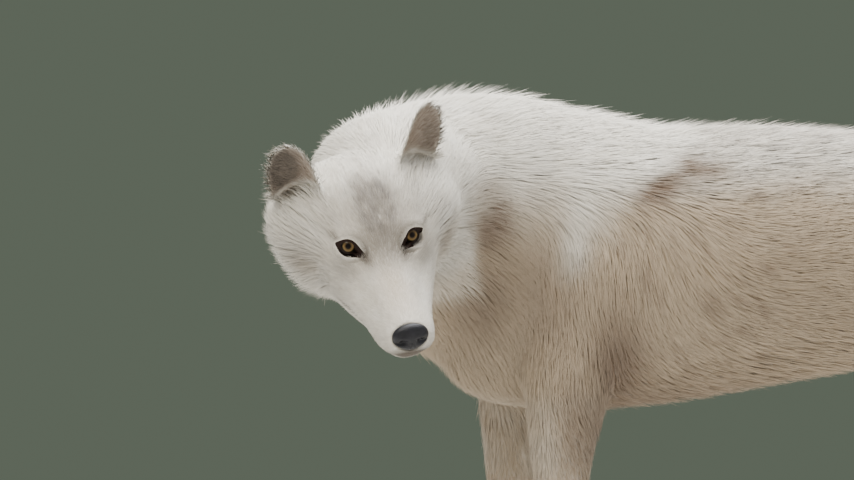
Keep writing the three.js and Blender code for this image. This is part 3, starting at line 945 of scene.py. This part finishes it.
# rings of three points and one at the tip, with the normals that light them
def blades(path, top, width, smooth, roll):
    count, steps = len(path), path.shape[1] - 1
    verts, facing = np.empty((count, 3 * steps + 1, 3)), np.empty((count, 3 * steps + 1, 3))
    for step in range(steps):
        ahead = unit(path[:, step + 1] - path[:, max(step - 1, 0)])
        flatSide = unit(np.cross(ahead, top))
        flatOut = np.cross(flatSide, ahead)
        side = flatSide * np.cos(roll) + flatOut * np.sin(roll)
        out = flatOut * np.cos(roll) - flatSide * np.sin(roll)
        half = (width * mm / 2 * tuft["widths"][step * 3 // steps])[:, None]
        corners = ((-1, -0.35, -side * 0.8), (0, 0.6, out * 0.6), (1, -0.35, side * 0.8))
        for k, (across, over, lean) in enumerate(corners):
            verts[:, step * 3 + k] = path[:, step] + side * half * across + out * half * over
            facing[:, step * 3 + k] = unit(top * smooth + lean * 0.55)
    verts[:, -1] = path[:, -1]
    facing[:, -1] = unit(top * smooth + out * 0.3)
    return verts, facing


def growCoat(weights, count, steps):
    corner, part = scatterOn(weights, count)
    look = {key: blend(values, corner, part) for key, values in hair.items()}
    root, up, way = rootsOf(corner, part)
    swirl = swirlAt(root) * ease(10, 40, look["length"])
    ways = turnAbout(way, up, swirl + np.radians(look["scatter"]) * chance.normal(size=count) * 0.8)
    lengths = look["length"] * mm * chance.uniform(*tuft["length"], count)
    rises = look["depth"] * mm * chance.uniform(*tuft["rise"], count)
    onTop = ease(715, 760, root[:, 2] / mm)
    stray = chance.random(count) < tuft["stray"] + tuft["topStray"] * onTop
    lift = 1.1 + (tuft["strayLift"] + tuft["topLift"] * onTop) * chance.random(count)
    rises = np.where(stray, rises * lift, rises)
    width = look["width"] * np.where(stray, tuft["strayWidth"], 1)
    path, top = tracePaths(corner, part, lengths, rises, ways, steps)

    # locks: each hair leans towards the path of the nearest lock's own hair
    lockWeights = areas * (weights > 0) * ~bald / hair["lockGap"][faces].mean(1) ** 2
    lockCount = max(int(lockWeights.sum() * 1e6), 4)
    lockCorner, lockPart = scatterOn(lockWeights, lockCount)
    lockRoot, lockUp, lockWay = rootsOf(lockCorner, lockPart)
    lockTurn = swirlAt(lockRoot) + np.radians(tuft["lockTurn"]) * chance.normal(size=lockCount)
    lockLengths = blend(hair["length"], lockCorner, lockPart) * mm * chance.uniform(*tuft["lockLength"], lockCount)
    lockRises = blend(hair["depth"], lockCorner, lockPart) * mm * chance.uniform(*tuft["lockRise"], lockCount)
    lockWays = turnAbout(lockWay, lockUp, lockTurn)
    lockPath, _ = tracePaths(lockCorner, lockPart, lockLengths, lockRises, lockWays, steps)
    lockTree = treeOf(list(enumerate(lockRoot.tolist())))
    lock = np.array([lockTree.find(p)[1] for p in root.tolist()])
    pull = np.where(stray, tuft["strayPull"], look["pull"]) * chance.uniform(0.6, 1.2, count)
    for step in range(1, steps + 1):
        lean = np.clip(pull * (step / steps) ** 1.1, 0, 0.95)[:, None]
        path[step] = path[step] * (1 - lean) + lockPath[step][lock] * lean
        path[step][:, 2] -= look["droop"] * lengths * (step / steps) ** 2
        path[step][:, 2] = np.maximum(path[step][:, 2], tuft["overFloor"] * mm)
    path = np.stack(path, 1)

    roll = chance.uniform(-tuft["roll"], tuft["roll"], count)[:, None]
    smooth = (1 - 0.75 * np.clip(blend(earShare, corner, part), 0, 1))[:, None]
    verts, facing = blades(path, top, width, smooth, roll)
    ownHere, keepHere = blend(own, corner, part), blend(keep, corner, part)
    marks, strand = np.empty((count, 3 * steps + 1, 4)), np.empty((count, 3 * steps + 1, 3))
    for step in range(steps + 1):
        marks[:, step * 3:step * 3 + 3] = marksAt(path[:, step], ownHere, keepHere)[:, None]
        strand[:, step * 3:step * 3 + 3, 0] = step / steps
    strand[:, :, 1] = chance.random(count)[:, None]
    strand[:, :, 2] = chance.random(lockCount)[lock][:, None]
    return root, verts, facing, marks, strand


# a coat piece's map is its skin rolled out round an axis, given by two points in millimetres
def rolledOut(root, start, end):
    start, end = np.array(start, float), np.array(end, float)
    axis = unit(end - start)
    side = unit(np.cross(axis, (0.1, 0.9, 0.3)))
    away = root / mm - start
    spots = np.stack([away @ axis, np.arctan2(away @ np.cross(axis, side), away @ side)], 1)
    low, high = spots.min(0), spots.max(0)
    return 0.01 + 0.98 * (spots - low) / np.maximum(high - low, 1e-9)


def coatPiece(name, where, steps, axis):
    weights = np.where(where, wanted, 0)
    count, rings = int(wanted[where].sum()), 3 * steps + 1
    root, verts, facing, marks, strand = growCoat(weights, count, steps)
    sides = []
    for step in range(steps):
        for k in range(3):
            p, q = step * 3 + k, step * 3 + (k + 1) % 3
            sides.append((p, q, q + 3, p + 3) if step < steps - 1 else (p, q, rings - 1))
    loops = np.array([c for side in sides for c in side])
    starts = np.cumsum([0] + [len(side) for side in sides])[:-1]
    each = np.arange(count)[:, None]
    allLoops = (loops[None] + each * rings).ravel()
    allStarts = (starts[None] + each * len(loops)).ravel()
    mesh = bpy.data.meshes.new(name)
    mesh.vertices.add(count * rings)
    mesh.vertices.foreach_set("co", verts.astype(np.float32).ravel())
    mesh.loops.add(len(allLoops))
    mesh.loops.foreach_set("vertex_index", allLoops.astype(np.int32))
    mesh.polygons.add(len(allStarts))
    mesh.polygons.foreach_set("loop_start", allStarts.astype(np.int32))
    mesh.update(calc_edges=True)
    shadeSmooth(mesh)
    mesh.normals_split_custom_set_from_vertices(facing.reshape(-1, 3))   # hair is lit as the coat's surface is
    across = np.array([0, 0.5, 1] * steps + [0.5]) - 0.5
    along = np.array(np.repeat(np.arange(steps) / steps, 3).tolist() + [1]) - 0.5
    patch = np.stack([across, along], 1) * 0.003   # each tuft's own patch of the map
    spots = rolledOut(root, *axis)
    uv = (spots[:, None] + patch[None])[:, loops].reshape(-1, 2)
    mesh.uv_layers.new(name="OFBake").uv.foreach_set("vector", uv.astype(np.float32).ravel())
    giveAttributes(mesh, np.repeat(root, rings, 0), marks.reshape(-1, 4), strand.reshape(-1, 3))
    mesh.materials.append(guardHair)
    print(name, count, "tufts,", count * (6 * (steps - 1) + 3), "triangles")
    return newObject(name, mesh)


# markings over cream, then paler tips and the differences from hair to hair and from lock to lock
def hairColour(material, underfurAndPaintedLight=0.0):
    strand = addNode(material, "ShaderNodeAttribute", {"attribute_name": "strand"})
    marked = addNode(material, "ShaderNodeAttribute", {"attribute_name": "marks"})
    where = addNode(material, "ShaderNodeAttribute", {"attribute_name": "rootPlace"})
    parts = addNode(material, "ShaderNodeSeparateXYZ", sockets={0: strand.outputs["Vector"]})
    kinds = addNode(material, "ShaderNodeSeparateColor", sockets={0: marked.outputs["Color"]})
    mottle = addNode(material, "ShaderNodeTexNoise", Vector=where.outputs["Vector"], Scale=60.0, Detail=3.0)
    # the tan, grey, brown and dark marks carry painted shade too: in the folds, lower down the front, over the face,
    # under the head and in the ears
    layers = [(mottle.outputs[0], 1, "#e8e0cc"),                                              # cream
              (kinds.outputs[0], 1, "#b79f7f"), (kinds.outputs[1], 1, "#7b746b"),             # tan and grey
              (kinds.outputs[2], 1, "#6c523a"), (marked.outputs["Alpha"], 1, "#2e2118"),      # brown and dark
              (parts.outputs[0], 0.14, "#f0ede3"),                                            # tips
              (parts.outputs[1], 0.17, "#9a8d79"), (parts.outputs[2], 0.19, "#8f816c")]       # hairs and locks
    if underfurAndPaintedLight:   # the wool between the tufts is paler than their tips: partly its own colour, partly painted light in the shadowed gaps
        unmarked = addNode(material, "ShaderNodeMath", {"operation": "SUBTRACT", "use_clamp": True},
                           {0: 1.0, 1: marked.outputs["Alpha"]})
        layers.append((unmarked.outputs[0], underfurAndPaintedLight, "#efe9dc"))
    tone = "#f8f4e8"
    for amount, strength, hexCode in layers:
        if strength < 1:
            amount = addNode(material, "ShaderNodeMath", {"operation": "MULTIPLY", "use_clamp": True},
                             {0: amount, 1: strength}).outputs[0]
        tone = addNode(material, "ShaderNodeMix", {"data_type": "RGBA"}, {0: amount, 6: tone, 7: hexCode}).outputs[2]
    return tone


guardHair = newMaterial("guard hair")  # dull and soft: it scatters light and hardly shines
shader = addNode(guardHair, "ShaderNodeBsdfPrincipled", Base_Color=hairColour(guardHair), Roughness=0.7,
                 Specular_IOR_Level=0.2)
addNode(guardHair, "ShaderNodeOutputMaterial", Surface=shader.outputs[0])

faceMiddle = placeMm[faces].mean(1)


def isIn(*names):
    return np.isin(onFace, [regions.index(n) for n in names])


left, fore = faceMiddle[:, 1] < middleY, faceMiddle[:, 0] < 0
nearNeck, legs = faceMiddle[:, 0] > -440, isIn("upperLeg", "lowerLeg", "paw")
chest, barrel = isIn("shoulder", "breast"), isIn("back", "flank", "belly")
neckAxis = ((-300, 60, 640), (-460, -40, 660))
chestAxis = ((-400, middleY, 600), (0, middleY, 600))
barrelAxis = ((-100, middleY, 600), (400, middleY, 600))
coatPieces = {
    "coat_muzzle": (isIn("muzzle", "bridge", "eyes"), 2, ((-410, -60, 640), (-430, -280, 500))),
    "coat_head": (isIn("crown", "cheek", "jaw"), 2, ((-470, 0, 700), (-440, -200, 560))),
    "coat_neck_left": (isIn("mane") & nearNeck, 2, neckAxis),
    "coat_neck_right": (isIn("mane") & ~nearNeck, 2, neckAxis),
    "coat_shoulder_left": (chest & left, 2, chestAxis),
    "coat_shoulder_right": (chest & ~left, 2, chestAxis),
    "coat_flank_left": (barrel & left, 2, barrelAxis),
    "coat_flank_right": (barrel & ~left, 2, barrelAxis),
    "coat_rump": (isIn("rump"), 2, ((350, middleY, 600), (480, middleY, 600))),
    "coat_tail": (isIn("tail"), 3, ((540, 120, 690), (570, 115, 290))),
    "coat_forelegs": (legs & fore, 2, ((-300, middleY, 500), (-300, middleY, 0))),
    "coat_hindlegs": (legs & ~fore, 2, ((390, middleY, 500), (390, middleY, 0))),
    "coat_ears": (isIn("earIn", "earBack"), 2, ((-500, -150, 690), (-500, -170, 800))),
}
for name, (where, steps, axis) in coatPieces.items():
    piece = coatPiece(name, where, steps, axis)
    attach(piece, "root")

hide = newMaterial("hide")  # skin under wool: it shows as soft dull fluff between the tufts
objectPlace = addNode(hide, "ShaderNodeTexCoord").outputs["Object"]
pile = addNode(hide, "ShaderNodeTexNoise", Vector=objectPlace, Scale=700.0, Detail=3.0)
relief = addNode(hide, "ShaderNodeBump", Height=pile.outputs[0], Strength=0.5, Distance=0.0008)
shader = addNode(hide, "ShaderNodeBsdfPrincipled", Base_Color=hairColour(hide, 0.2), Normal=relief.outputs[0],
                 Roughness=0.8)
addNode(hide, "ShaderNodeOutputMaterial", Surface=shader.outputs[0])
lidMargin = newMaterial("moist lid skin")  # bare black rim, wet where it meets the eye
shader = addNode(lidMargin, "ShaderNodeBsdfPrincipled", Base_Color="#20130c", Roughness=0.55, Specular_IOR_Level=0.12)
addNode(lidMargin, "ShaderNodeOutputMaterial", Surface=shader.outputs[0])
for mesh in (skin.data, lidMesh):
    mesh.materials.append(hide)
    mesh.materials.append(lidMargin)
lidMesh.polygons.foreach_set("material_index", (lidRow[lidTris].max(1) <= lid["margin"]).astype(np.int32))
shadeSmooth(lidMesh)
joinAll([skin, lids], "skin")
print("skin and lids are one")

# eyes: a ball with a raised cornea, its iris and pupil drawn by distance from the line of sight, in millimetres
eyeball = {"ball": 12.5, "cornea": 0.9, "iris": 8.2, "ahead": 0.55, "up": 0.09, "lidShade": 0.8}
wetEye = newMaterial("wet eye")  # amber iris under a clear film of tears
sight = addNode(wetEye, "ShaderNodeUVMap", {"uv_map": "sight"}).outputs[0]
fromPupil = addNode(wetEye, "ShaderNodeSeparateXYZ", sockets={0: sight})
# the map's first axis goes round the pupil, so the streaks run outwards
stretch = addNode(wetEye, "ShaderNodeMapping", Vector=sight, Scale=(60, 2.2, 1))
fibres = addNode(wetEye, "ShaderNodeTexNoise", Vector=stretch.outputs[0], Scale=1.0, Detail=4.0, Roughness=0.7)
iris = addNode(wetEye, "ShaderNodeValToRGB", sockets={0: fromPupil.outputs["Y"]},
               stops=((0.0, "#0c0603"), (0.2, "#0f0804"), (0.235, "#20180c"), (0.31, "#584529"),
                      (0.46, "#7b633e"), (0.57, "#2e2612"), (0.63, "#0c0805"), (1.0, "#18110d")))
streaks = addNode(wetEye, "ShaderNodeValToRGB", sockets={0: fibres.outputs[0]},
                  stops=((0.35, "#8a8a8a"), (0.65, "#ffffff")))
streaked = addNode(wetEye, "ShaderNodeMix", {"data_type": "RGBA", "blend_type": "MULTIPLY"},
                   {0: 0.55, 6: iris.outputs[0], 7: streaks.outputs[0]})
lidShadow = addNode(wetEye, "ShaderNodeAttribute", {"attribute_name": "lidShadow"})   # painted shadow of the upper lid over the eye
shaded = addNode(wetEye, "ShaderNodeMix", {"data_type": "RGBA"},
                 {0: lidShadow.outputs["Fac"], 6: streaked.outputs[2], 7: "#0a0705"})
shader = addNode(wetEye, "ShaderNodeBsdfPrincipled", Base_Color=shaded.outputs[2], Roughness=0.4, Coat_Weight=0.1,
                 Coat_Roughness=0.03, Specular_IOR_Level=0.06)
addNode(wetEye, "ShaderNodeOutputMaterial", Surface=shader.outputs[0])
for node, eyePlace, side in zip(eyeSits, eyePlaces, (1, -1)):
    bpy.ops.mesh.primitive_uv_sphere_add(segments=64, ring_count=48, radius=eyeball["ball"] * mm)
    eye = bpy.context.object
    eye.name = node + "_ball"
    opening = (eyeTurn(side) @ np.array([1.0, 0, 0])) @ headTurn
    look = unit(opening * eyeball["ahead"] + np.array([0, -1, 0]) * (1 - eyeball["ahead"]))
    look = (Vector(look.tolist()) + Vector((0, 0, eyeball["up"]))).normalized()
    turn = np.array(look.to_track_quat("Z", "Y").to_matrix())
    over = unit(np.array([0, 0, 1.0]) - np.array(look) * look.z)
    flat = points(eye.data)
    outwards = unit(flat)
    fromSight = np.arccos(np.clip(outwards[:, 2], -1, 1)) / math.asin(eyeball["iris"] / eyeball["ball"])
    swell = eyeball["cornea"] * np.clip(1 - fromSight ** 2, 0, 1) ** 1.2
    turned = (outwards * ((eyeball["ball"] + swell) * mm)[:, None]) @ turn.T
    setPoints(eye.data, turned + fromHead(eyePlace * mm))
    shade = eyeball["lidShade"] * ease(-0.05, 0.45, (turned @ over) / (eyeball["ball"] * mm))
    eye.data.attributes.new("lidShadow", "FLOAT", "POINT").data.foreach_set("value", shade.astype(np.float32))
    ends = flat[rows(eye.data.loops, "vertex_index", 1)[:, 0]]
    away = np.where(ends[:, 2] < 0, 1.0, np.hypot(ends[:, 0], ends[:, 1]) / (eyeball["ball"] * mm))
    aroundSight = np.abs(np.arctan2(ends[:, 1], ends[:, 0]) / (2 * math.pi))
    dropMaps(eye.data)
    layer = eye.data.uv_layers.new(name="sight")
    layer.uv.foreach_set("vector", np.stack([aroundSight, away], 1).astype(np.float32).ravel())
    shadeSmooth(eye.data)
    eye.data.materials.append(wetEye)
    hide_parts(node)
    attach(eye, "root")
print("eyes are in")

# nose: one pad with comma nostrils and a groove under it, in millimetres in the head's frame
noseSizes = {"middle": (147.5, 0, -37), "reach": (12.5, 23, 18.5), "nostril": (158, 10.5, -38),
             "pit": 5.5, "ridge": 1.0, "groove": 1.9}
bpy.ops.mesh.primitive_uv_sphere_add(segments=96, ring_count=64, radius=1)
pad = bpy.context.object
pad.name = "nose_pad"
y, z, x = points(pad.data).T   # the poles look forwards and back
shape = np.stack([x * noseSizes["reach"][0] * (1 - 0.10 * ease(0.2, 1, z)),
                  y * noseSizes["reach"][1] * (1 + 0.05 * z - 0.22 * ease(-0.2, -1, z)),
                  np.sign(z) * np.abs(z) ** 0.92 * noseSizes["reach"][2]], 1)
spot = shape + np.array(noseSizes["middle"])
move = np.zeros(len(spot))
for side in (-1, 1):
    middle = np.array(noseSizes["nostril"]) * (1, side, 1)
    comma = 0.8 * spotAt(spot, middle + (-4, side * 6.5, -3), (9, 5, 2.2))
    move -= noseSizes["pit"] * np.clip(spotAt(spot, middle, (9, 4.6, 3.8)) + comma, 0, 1.1)
    move += noseSizes["ridge"] * spotAt(spot, middle + (0, side * 1.5, 6.5), (10, 7, 3))
move -= noseSizes["groove"] * np.exp(-(spot[:, 1] / 1.5) ** 2) * ease(-34, -42, spot[:, 2])
spot[:, 0] += move
setPoints(pad.data, fromHead(spot * mm))
shadeSmooth(pad.data)
dropMaps(pad.data)
editAll(pad, bpy.ops.mesh.normals_make_consistent, inside=False)
noseLeather = newMaterial("damp nose leather")  # black, pebbled about a millimetre across, with a dull wet sheen
objectPlace = addNode(noseLeather, "ShaderNodeTexCoord").outputs["Object"]
pebble = addNode(noseLeather, "ShaderNodeTexVoronoi", Vector=objectPlace, Scale=750.0)
cloud = addNode(noseLeather, "ShaderNodeTexNoise", Vector=objectPlace, Scale=90.0, Detail=3.0)
tone = addNode(noseLeather, "ShaderNodeValToRGB", sockets={0: cloud.outputs[0]},
               stops=((0.35, "#0c0c0e"), (0.7, "#18171b")))
relief = addNode(noseLeather, "ShaderNodeBump", Height=pebble.outputs["Distance"], Strength=0.5, Distance=0.0006)
shader = addNode(noseLeather, "ShaderNodeBsdfPrincipled", Base_Color=tone.outputs[0], Normal=relief.outputs[0],
                 Roughness=0.4, Specular_IOR_Level=0.32)
addNode(noseLeather, "ShaderNodeOutputMaterial", Surface=shader.outputs[0])
pad.data.materials.append(noseLeather)
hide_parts("nose")
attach(pad, "root")
print("nose is in")

# claws and pads, placed by each paw's box, in millimetres
paw = {
    "toes": ((-27, 24, -12), (-10, 41, -4), (10, 41, 4), (27, 24, 12)),   # across, ahead, and turned in degrees
    # one claw's middle line: ahead, height and half its thickness
    "claw": ((8, 17.5, 3.6), (15, 17.6, 3.5), (21, 16, 3.1), (26, 13, 2.4), (30, 9.2, 1.6), (32, 6, 0.5)),
    "clawAround": 10, "clawSlant": 0.25, "clawFlat": 0.85,
    "toePad": (11, 8.5), "toePadBack": 4, "heelPad": (17, 19), "heelPadBack": 12, "padHigh": 7, "padMiddle": 5,
}
horn = newMaterial("claw horn")  # dark keratin, its tone wandering paler and darker with a fine grain
objectPlace = addNode(horn, "ShaderNodeTexCoord").outputs["Object"]
grain = addNode(horn, "ShaderNodeTexNoise", Vector=objectPlace, Scale=260.0, Detail=4.0)
tone = addNode(horn, "ShaderNodeValToRGB", sockets={0: grain.outputs[0]}, stops=((0.3, "#2b2420"), (0.75, "#5a4c40")))
shader = addNode(horn, "ShaderNodeBsdfPrincipled", Base_Color=tone.outputs[0], Roughness=0.4)
addNode(horn, "ShaderNodeOutputMaterial", Surface=shader.outputs[0])
padLeather = newMaterial("paw pad leather")  # rough black pads, worn dull
objectPlace = addNode(padLeather, "ShaderNodeTexCoord").outputs["Object"]
grain = addNode(padLeather, "ShaderNodeTexVoronoi", Vector=objectPlace, Scale=500.0).outputs["Distance"]
relief = addNode(padLeather, "ShaderNodeBump", Height=grain, Strength=0.6, Distance=0.001)
tone = addNode(padLeather, "ShaderNodeValToRGB", sockets={0: grain}, stops=((0.0, "#3a332f"), (1.0, "#27211e")))
shader = addNode(padLeather, "ShaderNodeBsdfPrincipled", Base_Color=tone.outputs[0], Normal=relief.outputs[0],
                 Roughness=0.8)
addNode(padLeather, "ShaderNodeOutputMaterial", Surface=shader.outputs[0])

# one claw and one cushion are made, and every toe gets its own copy
clawRings, clawFaces, around = [], [], paw["clawAround"]
for ahead, height, thick in paw["claw"]:
    for k in range(around):
        angle = 2 * math.pi * k / around
        up, across = math.sin(angle) * thick, math.cos(angle) * thick
        clawRings.append((ahead + up * paw["clawSlant"], across * paw["clawFlat"], height + up))
for p, q in ringSides(len(paw["claw"]), around):
    clawFaces.append((p, q, q + around, p + around))
clawFaces += [tuple(range(around - 1, -1, -1)), tuple(range(len(clawRings) - around, len(clawRings)))]
clawMesh = bpy.data.meshes.new("claw")
clawMesh.from_pydata(clawRings, [], clawFaces)
clawRings = np.array(clawRings)
bpy.ops.mesh.primitive_uv_sphere_add(segments=20, ring_count=12, radius=1)
cushion = bpy.context.object
cushionMesh, ball = cushion.data, points(cushion.data)
bpy.data.objects.remove(cushion)


def joinedCopies(mesh, name, places):
    made = []
    for place in places:
        made.append(newObject(name, mesh.copy()))
        setPoints(made[-1].data, np.array(place) * mm)
    return joinAll(made, name)


for node in pawNodes:
    low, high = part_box(node)
    pawX, pawY = low.x / mm + pawBack, (low.y + high.y) / 2 / mm
    clawPlaces, cushionPlaces = [], []
    for out, reach, turned in paw["toes"]:
        turn = math.radians(180 - turned)
        x, y, z = clawRings.T
        clawPlaces.append(np.stack([x * math.cos(turn) - y * math.sin(turn) + pawX - reach,
                                    x * math.sin(turn) + y * math.cos(turn) + pawY + out, z], 1))
    cushions = [(pawX - reach + paw["toePadBack"], pawY + out, *paw["toePad"]) for out, reach, _ in paw["toes"]]
    for middleX, across, longer, wider in cushions + [(pawX + paw["heelPadBack"], pawY, *paw["heelPad"])]:
        height = np.maximum(ball[:, 2] * paw["padHigh"] + paw["padMiddle"], 0.0)   # flat where it meets the floor
        cushionPlaces.append(np.stack([ball[:, 0] * longer + middleX, ball[:, 1] * wider + across, height], 1))
    claws = joinedCopies(clawMesh, node.replace("_paw", "_claws"), clawPlaces)
    editAll(claws, bpy.ops.mesh.normals_make_consistent, inside=False)
    shadeSmooth(claws.data)
    claws.data.materials.append(horn)
    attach(claws, "root")
    pads = joinedCopies(cushionMesh, node.replace("_paw", "_pads"), cushionPlaces)
    shadeSmooth(pads.data)
    pads.data.materials.append(padLeather)
    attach(pads, "root")
print("claws and pads are in")

for name in fleshNodes:
    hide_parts(name)
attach(skin, "root")

size = {"cad": [list(cadLow), list(cadHigh)], "visual": [list(c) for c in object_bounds()]}
